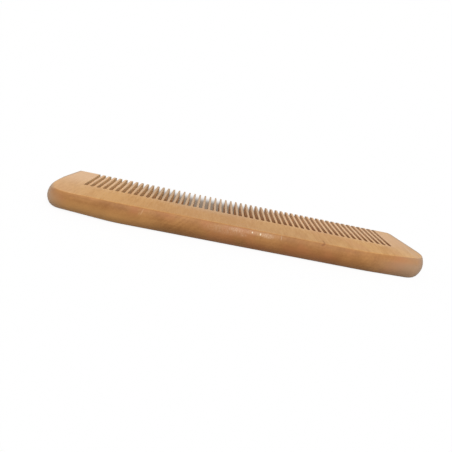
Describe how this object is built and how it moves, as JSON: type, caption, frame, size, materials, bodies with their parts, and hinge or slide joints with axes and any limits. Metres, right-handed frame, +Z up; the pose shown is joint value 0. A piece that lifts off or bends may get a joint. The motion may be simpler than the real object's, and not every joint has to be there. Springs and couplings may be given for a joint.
{
  "type": "comb",
  "caption": "Wooden hair comb cut from a solid board: a rounded back, a row of long, fine sawn teeth with blunt tips, and a wide guard at each end.",
  "frame": {"origin": "middle of the bounding box, on the surface that the comb lies on", "axes": "+X along the comb, from the narrower guard to the wider one; +Y from the round back to the tooth tips; +Z up, out of the upper face, with the comb lying flat on its underside"},
  "size_m": [0.179, 0.0486, 0.0097],
  "materials": {
    "wood": "satin"
  },
  "bodies": {
    "root": {"comb": "wood"}
  },
  "joints": []
}
